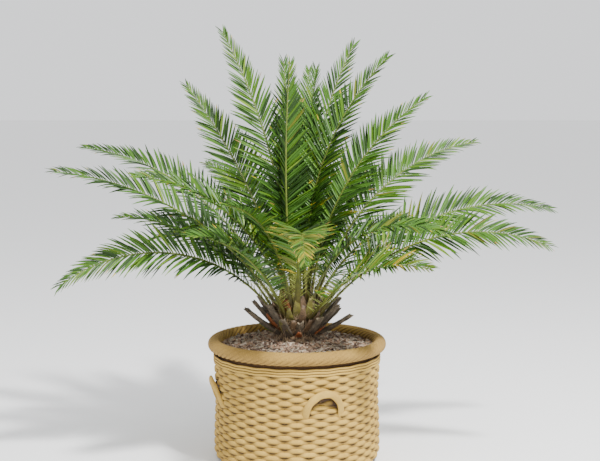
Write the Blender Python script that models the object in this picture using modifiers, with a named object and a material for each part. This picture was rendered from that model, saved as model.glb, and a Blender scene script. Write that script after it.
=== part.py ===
# A date palm in a round woven planter, in metres.
# The origin is the centre of the planter's flat underside, the front faces -Y and +Z is up.

import math
import random

import bmesh
import bpy
from mathutils import Matrix, Vector
from mathutils.bvhtree import BVHTree

OBJECT_NAME = "potted_date_palm"
GAP = 0.0003
MERGE = 0.00005

# Planter: a rope-like rim, a band under it and a nearly straight wall with a slight waist.
RIM_RADIUS = 0.3255
RIM_TUBE = 0.0245
RIM_HEIGHT = 0.455
RIM_ARC = (210.0, -70.0)
RIM_STEPS = 10
GROOVE_RADIUS = 0.3200
GROOVE_HEIGHT = 0.426
BAND_RADIUS = 0.3290
BAND_TOP = 0.418
BAND_BOTTOM = 0.386
BAND_EASE = 0.007
WAIST_RADIUS = 0.3180
WAIST_HEIGHT = 0.270
FOOT_RADIUS = 0.3250
FOOT_HEIGHT = 0.100
FOOT_ROUND = 0.040
FOOT_STEPS = 4
INNER_RADIUS = 0.3040
FLOOR_HEIGHT = 0.030
POT_SIDES = 36

# Handles: four arched ears, unevenly set round the wall, that lean out at the top.
HANDLE_AZIMUTHS = (-71.5, 28.0, 110.0, 192.0)
HANDLE_HALF_WIDTH = 0.066
HANDLE_FOOT_HEIGHT = 0.226
HANDLE_TOP_HEIGHT = 0.325
HANDLE_STRAP = 0.012
HANDLE_FLATNESS = 0.62
HANDLE_LEAN = 0.026
HANDLE_SINK = 0.016
HANDLE_STEPS = 14
HANDLE_FULLNESS = 0.8

# Soil: a filled drum, a little higher round the trunk.
SOIL_HEIGHT = 0.466
SOIL_PLATEAU = 0.105
SOIL_SHOULDER = (0.290, 0.447)
SOIL_EDGE_HEIGHT = 0.440

# Trunk: a short bulb with a flared foot, cut flat on the soil.
CROWN_HEIGHT = 0.530
CROWN_RADIUS = 0.076
CROWN_RISE = 0.085
CROWN_STEPS = 6
TRUNK_FLARE = ((0.077, 0.505), (0.079, 0.482))
TRUNK_FOOT = 0.083
TRUNK_SIDES = 20

# Cut petiole stubs: azimuth, seat elevation, rise, tip angle and length.
STUB_WIDTH = (0.036, 0.024)
STUB_DEPTH = (0.017, 0.011)
STUB_STEPS = 4
STUB_SLANT = 0.008
STUBS = (
    (172, -28, 26, 42, 0.172),
    (206, -27, 28, 44, 0.168),
    (139, -28, 24, 40, 0.160),
    (155, -8, 44, 54, 0.150),
    (190, -9, 42, 52, 0.150),
    (223, -8, 46, 60, 0.130),
    (-8, -28, 20, 36, 0.172),
    (27, -27, 28, 42, 0.155),
    (-27, -8, 34, 52, 0.145),
    (10, -9, 44, 52, 0.150),
    (62, -28, 26, 44, 0.160),
    (45, -8, 42, 54, 0.140),
    (82, -8, 40, 56, 0.145),
    (100, -28, 24, 42, 0.165),
    (119, -8, 44, 50, 0.140),
    (246, -28, 36, 56, 0.110),
    (309, -28, 36, 56, 0.115),
    (278, -28, 50, 64, 0.075),
)

# Fronds: azimuth, seat elevation, rise, tip angle, length, bend and roll of the blade.
PETIOLE_SHARE = 0.20
PETIOLE_STEPS = 4
ROOT_DEPTH = 0.035
PATH_STEPS = 240
SEAT_RADIUS = 0.070
ROLL_START = 0.05
ROLL_END = 0.50
RIB_WIDTH = (0.022, 0.011, 0.0032)
YOUNG_WIDTH = 0.016
YOUNG_SEAT = 45
RIB_DEPTH = (0.014, 0.009, 0.0032)
LEAFLET_ROWS = 33
LEAFLET_LENGTH = 0.170
LEAFLET_GROW = (0.50, 1.8)
LEAFLET_FADE = 0.72
FADE_START = 0.35
FADE_POWER = 1.3
LEAFLET_SWEEP = (72.0, 56.0, 26.0)
LEAFLET_FOLD = 20.0
LEAFLET_JITTER = 2.5
LENGTH_SPREAD = (0.94, 1.04)
TIP_LEAFLET = 0.050
CLEARANCE = 0.0012
TIP_CLEARANCE = 0.005
TRY_LENGTHS = (1.0, 0.85, 0.7, 0.5)
TRY_FOLDS = (0.0, 14.0, -14.0, 28.0, -26.0, 42.0)
SEED = 11
FRONDS = (
    (155, 71, 90, 60, 1.12, 0.9, -62),
    (150, 52, 78, 48, 1.00, 0.8, -48),
    (165, 33, 66, 6, 1.10, 1.1, -30),
    (190, 32, 60, 6, 1.08, 1.0, -34),
    (213, 48, 74, 6, 0.90, 1.0, -30),
    (194, 7, 60, -37, 0.98, 1.0, -50),
    (172, 8, 64, 0, 0.80, 1.0, -20),
    (222, 74, 82, 96, 0.94, 1.0, 0),
    (62, 76, 88, 74, 0.93, 1.0, 0),
    (30, 58, 94, 60, 1.06, 1.1, 58),
    (355, 58, 94, 46, 1.05, 1.2, 56),
    (8, 42, 86, 34, 0.98, 1.1, 50),
    (24, 27, 72, 6, 1.05, 1.2, 40),
    (8, 8, 56, -14, 1.12, 1.2, 42),
    (347, 7, 52, -22, 1.03, 1.3, 50),
    (312, 10, 52, -5, 0.72, 1.0, 25),
    (272, 35, 74, -30, 0.92, 1.0, 0),
    (232, 16, 64, 5, 0.70, 1.0, -20),
    (332, 32, 82, -20, 0.76, 1.0, 20),
    (45, 40, 86, -10, 0.90, 1.1, 15),
    (112, 68, 90, 76, 0.96, 1.0, -10),
    (245, 42, 76, 5, 0.75, 1.0, -10),
    (48, 9, 54, -15, 0.92, 1.1, 20),
    (78, 9, 56, -20, 0.98, 1.0, 10),
    (108, 9, 54, -18, 1.00, 1.0, -10),
    (140, 9, 54, -22, 0.88, 1.1, -20),
    (66, 30, 70, 5, 1.00, 1.0, 10),
    (96, 34, 74, 0, 1.00, 1.0, 0),
    (124, 36, 72, 8, 0.90, 1.0, -15),
    (84, 52, 86, 45, 1.05, 1.0, 0),
)


def clear_scene():
    for thing in list(bpy.data.objects):
        bpy.data.objects.remove(thing, do_unlink=True)


def make_collection(name):
    collection = bpy.data.collections.new(name)
    bpy.context.scene.collection.children.link(collection)
    return collection


def make_material(name, colour, roughness, metallic=0.0):
    material = bpy.data.materials.new(name)
    material.use_nodes = True
    shader = material.node_tree.nodes["Principled BSDF"]
    shader.inputs["Base Color"].default_value = (*colour, 1.0)
    shader.inputs["Roughness"].default_value = roughness
    shader.inputs["Metallic"].default_value = metallic
    return material


def add_object(name, mesh, collection, material=None):
    thing = bpy.data.objects.new(name, mesh)
    collection.objects.link(thing)
    if material:
        mesh.materials.append(material)
    return thing


def smooth_round_faces(mesh, angle=40.0):
    mesh.shade_smooth()
    mesh.set_sharp_from_angle(angle=math.radians(angle))


def turned_object(name, profile, sides, collection, material=None):
    """Turn a profile, given down its outer side, round the upright axis."""
    mesh = bpy.data.meshes.new(name)
    points = [(radius, 0.0, height) for radius, height in profile]
    edges = [(k, k + 1) for k in range(len(points) - 1)]
    mesh.from_pydata(points, edges, [])
    thing = add_object(name, mesh, collection, material)
    screw = thing.modifiers.new("turn", "SCREW")
    screw.steps = sides
    screw.render_steps = sides
    screw.use_merge_vertices = True
    screw.merge_threshold = MERGE
    screw.use_smooth_shade = True
    return thing


def hide_cutter(thing):
    thing.hide_render = True
    thing.display_type = "WIRE"


def cut_by(thing, cutter):
    cut = thing.modifiers.new("cut", "BOOLEAN")
    cut.operation = "DIFFERENCE"
    cut.solver = "EXACT"
    cut.object = cutter


def arc(centre, radius, start, stop, steps):
    """Points on an arc in the profile plane, from one angle to another."""
    points = []
    for k in range(steps + 1):
        angle = math.radians(start + (stop - start) * k / steps)
        points.append((centre[0] + radius * math.cos(angle), centre[1] + radius * math.sin(angle)))
    return points


def wall_profile():
    """The planter's outer side from the groove under the rim down to its flat underside."""
    profile = [(GROOVE_RADIUS, GROOVE_HEIGHT)]
    ease_radius = (GROOVE_RADIUS + BAND_RADIUS) / 2
    profile.append((ease_radius, BAND_TOP))
    profile.append((BAND_RADIUS, BAND_TOP - BAND_EASE))
    profile.append((BAND_RADIUS, BAND_BOTTOM + BAND_EASE))
    profile.append((ease_radius, BAND_BOTTOM))
    profile.append((WAIST_RADIUS, WAIST_HEIGHT))
    profile.append((FOOT_RADIUS, FOOT_HEIGHT))
    corner = (FOOT_RADIUS - FOOT_ROUND, FOOT_ROUND)
    profile.extend(arc(corner, FOOT_ROUND, 0.0, -90.0, FOOT_STEPS))
    return profile


def wall_radius(height):
    """Outer radius of the plain wall at a height between the band and the foot."""
    low, high = (FOOT_RADIUS, FOOT_HEIGHT), (WAIST_RADIUS, WAIST_HEIGHT)
    if height > WAIST_HEIGHT:
        low, high = high, ((GROOVE_RADIUS + BAND_RADIUS) / 2, BAND_BOTTOM)
    share = (height - low[1]) / (high[1] - low[1])
    return low[0] + share * (high[0] - low[0])


def build_pot(parts, material):
    profile = [(0.0, FLOOR_HEIGHT), (INNER_RADIUS, FLOOR_HEIGHT)]
    profile.extend(arc((RIM_RADIUS, RIM_HEIGHT), RIM_TUBE, *RIM_ARC, RIM_STEPS))
    profile.extend(wall_profile())
    profile.append((0.0, 0.0))
    return turned_object("pot", profile, POT_SIDES, parts, material)


def build_soil(parts, material):
    radius = INNER_RADIUS - GAP
    profile = [
        (0.0, SOIL_HEIGHT),
        (SOIL_PLATEAU, SOIL_HEIGHT),
        SOIL_SHOULDER,
        (radius, SOIL_EDGE_HEIGHT),
        (radius, FLOOR_HEIGHT + GAP),
        (0.0, FLOOR_HEIGHT + GAP),
    ]
    return turned_object("soil", profile, POT_SIDES, parts, material)


def tube_along(name, points, bevel, collection):
    """A round tube with closed ends along points, made a mesh with welded caps."""
    curve = bpy.data.curves.new(name, "CURVE")
    curve.dimensions = "3D"
    curve.bevel_depth = bevel
    curve.bevel_resolution = 2
    curve.use_fill_caps = True
    spline = curve.splines.new("POLY")
    spline.points.add(len(points) - 1)
    for point, place in zip(spline.points, points):
        point.co = (*place, 1.0)
    source = bpy.data.objects.new(name, curve)
    collection.objects.link(source)
    evaluated = source.evaluated_get(bpy.context.evaluated_depsgraph_get())
    mesh = bpy.data.meshes.new_from_object(evaluated)
    bpy.data.objects.remove(source, do_unlink=True)
    bm = bmesh.new()
    bm.from_mesh(mesh)
    bmesh.ops.remove_doubles(bm, verts=bm.verts, dist=MERGE)
    bmesh.ops.recalc_face_normals(bm, faces=bm.faces)
    bm.to_mesh(mesh)
    bm.free()
    mesh.name = name
    return mesh


def handle_path():
    """A full arch between two feet, in the arch's own plane."""
    rise = HANDLE_TOP_HEIGHT - HANDLE_FOOT_HEIGHT
    points = []
    for k in range(HANDLE_STEPS + 1):
        angle = math.pi * k / HANDLE_STEPS
        points.append((HANDLE_HALF_WIDTH * math.cos(angle), 0.0, rise * math.sin(angle) ** HANDLE_FULLNESS))
    return points


def build_handles(parts, cutters, material):
    """Arches that run into the wall and are cut off 0.3 mm clear of it."""
    wall = [(radius + GAP, height) for radius, height in wall_profile()]
    profile = [(0.0, GROOVE_HEIGHT), *wall, (0.0, 0.0)]
    cutter = turned_object("wall_seat", profile, POT_SIDES, cutters)
    hide_cutter(cutter)
    mesh = tube_along("handle", handle_path(), HANDLE_STRAP, parts)
    mesh.transform(Matrix.Diagonal((1.0, HANDLE_FLATNESS, 1.0, 1.0)))
    smooth_round_faces(mesh)
    rise = HANDLE_TOP_HEIGHT - HANDLE_FOOT_HEIGHT
    lean = math.atan2(HANDLE_LEAN + HANDLE_SINK, rise)
    for count, azimuth in enumerate(HANDLE_AZIMUTHS, start=1):
        handle = add_object(f"handle_{count}", mesh, parts)
        foot = wall_radius(HANDLE_FOOT_HEIGHT) - HANDLE_SINK
        turn = Matrix.Rotation(math.radians(azimuth + 90.0), 4, "Z")
        move = Matrix.Translation((0.0, -foot, HANDLE_FOOT_HEIGHT))
        handle.matrix_world = turn @ move @ Matrix.Rotation(lean, 4, "X")
        cut_by(handle, cutter)
    mesh.materials.append(material)


def crown_profile(grow=0.0):
    """The bulb from its top down to its flared foot; grow makes it fatter for a cutter."""
    profile = []
    for k in range(CROWN_STEPS + 1):
        angle = math.radians(90.0 - 90.0 * k / CROWN_STEPS)
        radius = (CROWN_RADIUS + grow) * math.cos(angle) if k else 0.0
        profile.append((radius, CROWN_HEIGHT + (CROWN_RISE + grow) * math.sin(angle)))
    profile.extend((radius + grow, height) for radius, height in TRUNK_FLARE)
    profile.append((TRUNK_FOOT + grow, SOIL_HEIGHT + GAP))
    return profile


def build_trunk(parts, cutters, material):
    profile = [*crown_profile(), (0.0, SOIL_HEIGHT + GAP)]
    turned_object("trunk", profile, TRUNK_SIDES, parts, material)
    seat_profile = [*crown_profile(GAP), (0.0, SOIL_HEIGHT + GAP)]
    seat = turned_object("trunk_seat", seat_profile, TRUNK_SIDES, cutters)
    hide_cutter(seat)
    return seat


def direction(azimuth, elevation):
    a, e = math.radians(azimuth), math.radians(elevation)
    return Vector((math.cos(a) * math.cos(e), math.sin(a) * math.cos(e), math.sin(e)))


def mix(values, share):
    """Read a value off two or three evenly spaced ones."""
    place = share * (len(values) - 1)
    k = min(int(place), len(values) - 2)
    return values[k] + (values[k + 1] - values[k]) * (place - k)


def seat_point(azimuth, seat):
    flat = direction(azimuth, seat)
    return Vector((flat.x * SEAT_RADIUS, flat.y * SEAT_RADIUS, CROWN_HEIGHT + flat.z * CROWN_RISE))


def limb_path(azimuth, seat, rise, tip, length, bend, shares):
    """Places and headings along a limb whose elevation runs from rise to tip."""
    places = [seat_point(azimuth, seat)]
    for k in range(PATH_STEPS):
        share = (k + 0.5) / PATH_STEPS
        heading = direction(azimuth, rise + (tip - rise) * share ** bend)
        places.append(places[-1] + heading * (length / PATH_STEPS))
    path = []
    for share in shares:
        heading = direction(azimuth, rise + (tip - rise) * share ** bend)
        path.append((places[round(share * PATH_STEPS)], heading))
    return path


def station(place, heading, azimuth, roll, width, depth):
    """A matrix that sets a unit section across a limb: X is its side, Y its upper face."""
    side = Vector((-math.sin(math.radians(azimuth)), math.cos(math.radians(azimuth)), 0.0))
    upper = heading.cross(side)
    turn = Matrix.Rotation(math.radians(roll), 3, heading)
    side, upper = turn @ side, turn @ upper
    frame = Matrix((side, upper, heading)).transposed().to_4x4()
    size = Matrix.Diagonal((width / 2, depth / 2, 1.0, 1.0))
    return Matrix.Translation(place) @ frame @ size


def sweep(corners, stations):
    """Extrude a section through its stations; returns the mesh, its side faces by step and its end."""
    bm = bmesh.new()
    ring = bmesh.ops.create_circle(bm, segments=corners, radius=1.0)["verts"]
    bmesh.ops.transform(bm, matrix=stations[0], verts=ring)
    edges = list(bm.edges)
    first, steps = list(edges), []
    for before, after in zip(stations, stations[1:]):
        grown = bmesh.ops.extrude_edge_only(bm, edges=edges)["geom"]
        ring = [item for item in grown if isinstance(item, bmesh.types.BMVert)]
        edges = [item for item in grown if isinstance(item, bmesh.types.BMEdge)]
        edges = [edge for edge in edges if edge.verts[0] in ring and edge.verts[1] in ring]
        steps.append([item for item in grown if isinstance(item, bmesh.types.BMFace)])
        bmesh.ops.transform(bm, matrix=after @ before.inverted(), verts=ring)
    bmesh.ops.holes_fill(bm, edges=first, sides=0)
    end = bmesh.ops.holes_fill(bm, edges=edges, sides=0)["faces"][0]
    bmesh.ops.recalc_face_normals(bm, faces=bm.faces)
    return bm, steps, end


def add_cut_limb(name, bm, parts, seat, material):
    """Make a limb's object, cut off 0.3 mm clear of the trunk."""
    mesh = bpy.data.meshes.new(name)
    bm.to_mesh(mesh)
    bm.free()
    cut_by(add_object(name, mesh, parts, material), seat)


def build_stub(name, row, parts, seat, material):
    """A cut petiole: a flat bar that leaves the trunk, turns up and ends in a slanting cut."""
    azimuth, seat_angle, rise, tip, length = row
    shares = [k / STUB_STEPS for k in range(STUB_STEPS + 1)]
    path = limb_path(azimuth, seat_angle, rise, tip, length, 1.0, shares)
    start, heading = path[0]
    path.insert(0, (start - direction(azimuth, seat_angle) * ROOT_DEPTH, heading))
    # The section's four corners lie on its axes, so an eighth of a turn makes its sides square.
    square = Matrix.Rotation(math.pi / 4, 4, "Z") @ Matrix.Scale(math.sqrt(2), 4)
    stations = []
    for k, (place, heading) in enumerate(path):
        share = max(0, k - 1) / STUB_STEPS
        width, depth = mix(STUB_WIDTH, share), mix(STUB_DEPTH, share)
        stations.append(station(place, heading, azimuth, 0.0, width, depth) @ square)
    slant = Matrix.Identity(4)
    slant[2][0], slant[2][1] = STUB_SLANT, -STUB_SLANT
    stations[-1] = stations[-1] @ slant
    bm, _, _ = sweep(4, stations)
    add_cut_limb(name, bm, parts, seat, material)


def frond_stations(row):
    """The root in the trunk, the bare petiole, then one step for each pair of leaflets."""
    azimuth, seat, rise, tip, length, bend, roll = row
    shares = [PETIOLE_SHARE * k / PETIOLE_STEPS for k in range(PETIOLE_STEPS)]
    leafy = 1.0 - PETIOLE_SHARE
    shares += [PETIOLE_SHARE + leafy * k / LEAFLET_ROWS for k in range(LEAFLET_ROWS + 1)]
    path = limb_path(azimuth, seat, rise, tip, length, bend, shares)
    start, heading = path[0]
    root = start - direction(azimuth, seat) * ROOT_DEPTH
    widths = (YOUNG_WIDTH if seat > YOUNG_SEAT else RIB_WIDTH[0], *RIB_WIDTH[1:])
    stations = [station(root, heading, azimuth, 0.0, widths[0], RIB_DEPTH[0])]
    for share, (place, heading) in zip(shares, path):
        if share < PETIOLE_SHARE:
            along = 0.5 * share / PETIOLE_SHARE
        else:
            along = 0.5 + 0.5 * (share - PETIOLE_SHARE) / leafy
        turned = roll * min(1.0, max(0.0, (share - ROLL_START) / (ROLL_END - ROLL_START)))
        width, depth = mix(widths, along), mix(RIB_DEPTH, along)
        stations.append(station(place, heading, azimuth, turned, width, depth))
    return stations


def leaflet_tip(frame, start, side, share, length, fold):
    """Where a leaflet ends: out to its side, folded up and swept towards the frond's tip."""
    sweep_angle = math.radians(mix(LEAFLET_SWEEP, share))
    fold = math.radians(fold)
    across = Vector((side * math.cos(fold), math.sin(fold), 0.0)) * math.sin(sweep_angle)
    across.z = math.cos(sweep_angle)
    return start + (frame @ across) * length


def leaflet_length(share):
    """Short at the petiole, longest a third of the way up and short again at the tip."""
    grow = min(1.0, LEAFLET_GROW[0] + LEAFLET_GROW[1] * share)
    past = max(0.0, (share - FADE_START) / (1.0 - FADE_START))
    return LEAFLET_LENGTH * grow * (1.0 - LEAFLET_FADE * past ** FADE_POWER)


def leaflet_hull(face, tip):
    """The leaflet as loose faces, made fatter and longer by the clearance, for testing."""
    centre = face.calc_center_median()
    corners = [vert.co + (vert.co - centre).normalized() * CLEARANCE for vert in face.verts]
    corners.append(tip + (tip - centre).normalized() * TIP_CLEARANCE)
    count = len(face.verts)
    faces = [(k, (k + 1) % count, count) for k in range(count)]
    return BVHTree.FromPolygons(corners, faces)


def clear_tip(face, frame, side, share, length, fold, obstacles):
    """The first of the folds and lengths to try whose leaflet touches nothing, or none."""
    start = face.calc_center_median()
    for scale in TRY_LENGTHS:
        for extra in TRY_FOLDS:
            tip = leaflet_tip(frame, start, side, share, length * scale, fold + extra)
            hull = leaflet_hull(face, tip)
            if not any(hull.overlap(tree) for tree in obstacles):
                return tip
    return None


def find_leaflets(stations, steps, obstacles, rng):
    """Each upper face of the rib gets a leaflet that touches no other limb; crowded ones are skipped."""
    leaflets = []
    first = PETIOLE_STEPS + 1
    for k, (faces, placed) in enumerate(zip(steps[first:], stations[first:])):
        share = k / (LEAFLET_ROWS - 1)
        frame = placed.to_3x3().normalized()
        inverse = placed.inverted()
        for face in faces:
            local = inverse @ face.calc_center_median()
            fold = LEAFLET_FOLD + rng.uniform(-LEAFLET_JITTER, LEAFLET_JITTER)
            length = leaflet_length(share) * rng.uniform(*LENGTH_SPREAD)
            if local.y < 0.0:
                continue
            side = 1.0 if local.x > 0.0 else -1.0
            tip = clear_tip(face, frame, side, share, length, fold, obstacles)
            if tip:
                leaflets.append((face, tip))
    return leaflets


def build_fronds(parts, seat, solids, material):
    """Bare ribs first, so that no leaflet crosses one, then the leaflets frond by frond."""
    all_stations = [frond_stations(row) for row in FRONDS]
    ribs = [sweep(3, stations) for stations in all_stations]
    trees = [BVHTree.FromBMesh(bm) for bm, _, _ in ribs]
    for index, (stations, (bm, steps, end)) in enumerate(zip(all_stations, ribs)):
        others = solids + [tree for k, tree in enumerate(trees) if k != index]
        leaflets = find_leaflets(stations, steps, others, random.Random(SEED + index))
        heading = stations[-1].col[2].xyz
        leaflets.append((end, stations[-1].translation + heading * TIP_LEAFLET))
        for face, tip in leaflets:
            bmesh.ops.poke(bm, faces=[face])["verts"][0].co = tip
        trees[index] = BVHTree.FromBMesh(bm)
        add_cut_limb(f"frond_{index + 1:02d}", bm, parts, seat, material)


def evaluated_tree(name):
    """A search tree of one finished object's faces, in world space."""
    graph = bpy.context.evaluated_depsgraph_get()
    thing = bpy.data.objects[name].evaluated_get(graph)
    bm = bmesh.new()
    bm.from_mesh(thing.to_mesh())
    bm.transform(thing.matrix_world)
    tree = BVHTree.FromBMesh(bm)
    bm.free()
    return tree


def build_palm():
    clear_scene()
    parts = make_collection(OBJECT_NAME)
    cutters = make_collection("cutters")
    planter = make_material("woven_planter", (0.50, 0.36, 0.20), 0.75)
    earth = make_material("bark_mulch", (0.20, 0.14, 0.11), 0.95)
    bark = make_material("trunk_fibre", (0.16, 0.11, 0.07), 0.90)
    dry = make_material("dry_stub", (0.20, 0.16, 0.11), 0.85)
    green = make_material("green_frond", (0.09, 0.20, 0.04), 0.50)
    build_pot(parts, planter)
    build_handles(parts, cutters, planter)
    build_soil(parts, earth)
    seat = build_trunk(parts, cutters, bark)
    for count, row in enumerate(STUBS, start=1):
        build_stub(f"stub_{count:02d}", row, parts, seat, dry)
    names = ["soil", "pot"] + [f"stub_{count:02d}" for count in range(1, len(STUBS) + 1)]
    solids = [evaluated_tree(name) for name in names]
    build_fronds(parts, seat, solids, green)


build_palm()
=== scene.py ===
# Dresses a potted date palm for a studio picture.
# Sizes are in metres. The planter stands on z = 0 and its front faces -y.

import math

import bmesh
import bpy
import numpy as np
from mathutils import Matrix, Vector


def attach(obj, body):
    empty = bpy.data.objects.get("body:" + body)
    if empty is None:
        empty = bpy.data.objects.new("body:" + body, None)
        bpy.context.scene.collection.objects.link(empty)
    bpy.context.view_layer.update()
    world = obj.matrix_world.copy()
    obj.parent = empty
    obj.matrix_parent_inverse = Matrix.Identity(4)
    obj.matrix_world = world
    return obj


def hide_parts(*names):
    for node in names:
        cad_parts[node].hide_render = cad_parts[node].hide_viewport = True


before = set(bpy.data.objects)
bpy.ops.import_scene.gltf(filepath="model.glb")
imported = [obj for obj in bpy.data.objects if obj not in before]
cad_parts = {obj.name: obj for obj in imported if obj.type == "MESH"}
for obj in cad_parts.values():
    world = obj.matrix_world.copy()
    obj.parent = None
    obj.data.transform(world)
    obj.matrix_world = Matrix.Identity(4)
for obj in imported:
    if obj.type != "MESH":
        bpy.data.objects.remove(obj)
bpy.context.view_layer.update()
fullTurn = 2 * math.pi
weldDistance = 0.00002


# how one array of shapes becomes a mesh

def evenTurns(count):
    # angles in even steps round a full turn
    return np.arange(count) * fullTurn / count


def gridFaces(rows, columns, wrapRows=False):
    # quads of a grid stored row by row: corner (i, j), then j + 1, then i + 1 and back;
    # the last column joins the first one, and with wrapRows the last row does too
    i = np.arange(rows if wrapRows else rows - 1)[:, None]
    j = np.arange(columns)[None, :]
    up = (i + 1) % rows
    right = (j + 1) % columns
    corners = [i * columns + j, i * columns + right, up * columns + right, up * columns + j]
    return np.stack(corners, -1).reshape(-1, 4)


def repeatFaces(faces, count, stride):
    # the same faces for each of count shapes whose points follow each other
    steps = np.arange(count)[:, None, None] * stride
    return (faces[None] + steps).reshape(-1, faces.shape[1])


def newBundle():
    return {"points": [], "faces": [], "paint": [], "values": [], "count": 0}


def addTo(bundle, points, faceSets, paint=0, value=1.0):
    # paint is one material number or one for each face; value is one number or one for each point
    points = points.reshape(-1, 3)
    paint = np.asarray(paint, np.int32)
    value = np.asarray(value, np.float32).reshape(-1)
    for faces in faceSets:
        bundle["faces"].append(faces + bundle["count"])
    total = sum(len(faces) for faces in faceSets)
    bundle["paint"].append(np.broadcast_to(paint, (total,)))
    bundle["values"].append(np.broadcast_to(value, (len(points),)))
    bundle["points"].append(points)
    bundle["count"] += len(points)


def weldPoles(mesh):
    bm = bmesh.new()
    bm.from_mesh(mesh)
    bmesh.ops.remove_doubles(bm, verts=bm.verts, dist=weldDistance)
    bm.to_mesh(mesh)
    bm.free()


def makePiece(name, bundle, materials, nodeNames, weld=False, smooth=True):
    points = np.concatenate(bundle["points"]).astype(np.float32)
    loops = np.concatenate([faces.ravel() for faces in bundle["faces"]]).astype(np.int32)
    sizes = np.concatenate([np.full(len(faces), faces.shape[1]) for faces in bundle["faces"]])
    starts = np.concatenate([[0], np.cumsum(sizes)[:-1]]).astype(np.int32)
    mesh = bpy.data.meshes.new(name)
    mesh.vertices.add(len(points))
    mesh.vertices.foreach_set("co", points.ravel())
    mesh.loops.add(len(loops))
    mesh.loops.foreach_set("vertex_index", loops)
    mesh.polygons.add(len(sizes))
    mesh.polygons.foreach_set("loop_start", starts)
    mesh.polygons.foreach_set("material_index", np.concatenate(bundle["paint"]))
    mesh.polygons.foreach_set("use_smooth", np.full(len(sizes), smooth))
    shade = mesh.attributes.new("shade", "FLOAT", "POINT")
    shade.data.foreach_set("value", np.concatenate(bundle["values"]))
    mesh.update(calc_edges=True)
    if weld:
        weldPoles(mesh)
    for material in materials:
        mesh.materials.append(material)
    piece = bpy.data.objects.new(name, mesh)
    bpy.context.scene.collection.objects.link(piece)
    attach(piece, "root")
    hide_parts(*nodeNames)
    print(name, len(loops) - 2 * len(sizes), "triangles")


def sweepBatch(places, sides, uppers, across, above):
    # shape m, station n, section corner k = place + side * across + upper * above
    points = places[..., None, :] + sides[..., None, :] * across[..., None]
    points = points + uppers[..., None, :] * above[..., None]
    shapes, stations, corners = across.shape
    walls = repeatFaces(gridFaces(stations, corners), shapes, stations * corners)
    ends = np.stack([np.arange(corners)[::-1], np.arange(corners) + (stations - 1) * corners])
    caps = repeatFaces(ends, shapes, stations * corners)
    return points, [walls, caps]


def sweepOne(*stationValues):
    # the same for a single shape
    return sweepBatch(*(values[None] for values in stationValues))


def roundSection(halfWide, halfDeep, corners, square=1.0):
    # an ellipse for each station, squarer as the power square falls below 1
    turn = evenTurns(corners)
    cosTurn = np.sign(np.cos(turn)) * np.abs(np.cos(turn)) ** square
    sinTurn = np.sign(np.sin(turn)) * np.abs(np.sin(turn)) ** square
    return halfWide[..., None] * cosTurn, halfDeep[..., None] * sinTurn


def ringTubes(radius, height, halfDeep, halfTall, corners):
    # closed rings round the upright axis: radius + halfDeep cos t, height - halfTall sin t
    rings, steps = radius.shape
    around = evenTurns(steps)[None, :, None]
    turn = evenTurns(corners)[None, None, :]
    out = radius[..., None] + halfDeep[..., None] * np.cos(turn)
    high = height[..., None] - halfTall[..., None] * np.sin(turn)
    points = np.stack([out * np.cos(around), out * np.sin(around), high], -1)
    faces = repeatFaces(gridFaces(steps, corners, wrapRows=True), rings, steps * corners)
    return points, [faces]


def turned(radius, height, steps):
    # a profile from the underside's centre out, up and back to the axis, turned round it
    around = evenTurns(steps)
    rows = len(height)
    out = np.broadcast_to(np.asarray(radius, float).reshape(rows, -1), (rows, steps))
    high = np.broadcast_to(np.asarray(height, float).reshape(rows, -1), (rows, steps))
    points = np.stack([out * np.cos(around), out * np.sin(around), high], -1)
    return points, [gridFaces(rows, steps)]


def mix(values, share):
    # straight lines through evenly spaced values
    return np.interp(share, np.linspace(0, 1, len(values)), values)


def unit(vectors):
    return vectors / np.maximum(np.linalg.norm(vectors, axis=-1, keepdims=True), 1e-9)


# finishes: two shared effects, then one Principled material for each finish

grainEffect = {
    "blotchDetail": 4.0,
    "grainDetail": 2.0,
    "noiseRange": (0.30, 0.70),
}


def setInputs(node, values):
    for label, value in values.items():
        node.inputs[label].default_value = value
    return node


def addNode(tree, kind, **values):
    return setInputs(tree.nodes.new(kind), values)


def linkAll(tree, links):
    # each link goes from a node's output to another node's input
    for first, output, second, target in links:
        tree.links.new(first.outputs[output], second.inputs[target])


def makeGroup(name, inputs, outputs):
    # inputs and outputs: the kind of each named socket
    group = bpy.data.node_groups.new(name, "ShaderNodeTree")
    for way, sockets in (("INPUT", inputs), ("OUTPUT", outputs)):
        for label, kind in sockets.items():
            group.interface.new_socket(label, in_out=way, socket_type="NodeSocket" + kind)
    return group, group.nodes.new("NodeGroupInput"), group.nodes.new("NodeGroupOutput")


def makeGrain(p):
    # soft blotches and fine grain: Mask runs from 0 to 1, Height is for a bump
    group, start, end = makeGroup(
        "sandGrain",
        {"Vector": "Vector", "Blotch Scale": "Float", "Grain Scale": "Float",
         "Grain Share": "Float"},
        {"Mask": "Float", "Height": "Float"})
    low, high = p["noiseRange"]
    blotch = addNode(group, "ShaderNodeTexNoise", Detail=p["blotchDetail"])
    grain = addNode(group, "ShaderNodeTexNoise", Detail=p["grainDetail"])
    both = addNode(group, "ShaderNodeMix")
    spread = addNode(group, "ShaderNodeMapRange")
    setInputs(spread, {"From Min": low, "From Max": high})
    linkAll(group, [
        (start, "Vector", blotch, "Vector"), (start, "Vector", grain, "Vector"),
        (start, "Blotch Scale", blotch, "Scale"), (start, "Grain Scale", grain, "Scale"),
        (start, "Grain Share", both, "Factor"),
        (blotch, "Fac", both, "A"), (grain, "Fac", both, "B"),
        (both, "Result", spread, "Value"), (spread, "Result", end, "Mask"),
        (grain, "Fac", end, "Height")])
    return group


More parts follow.
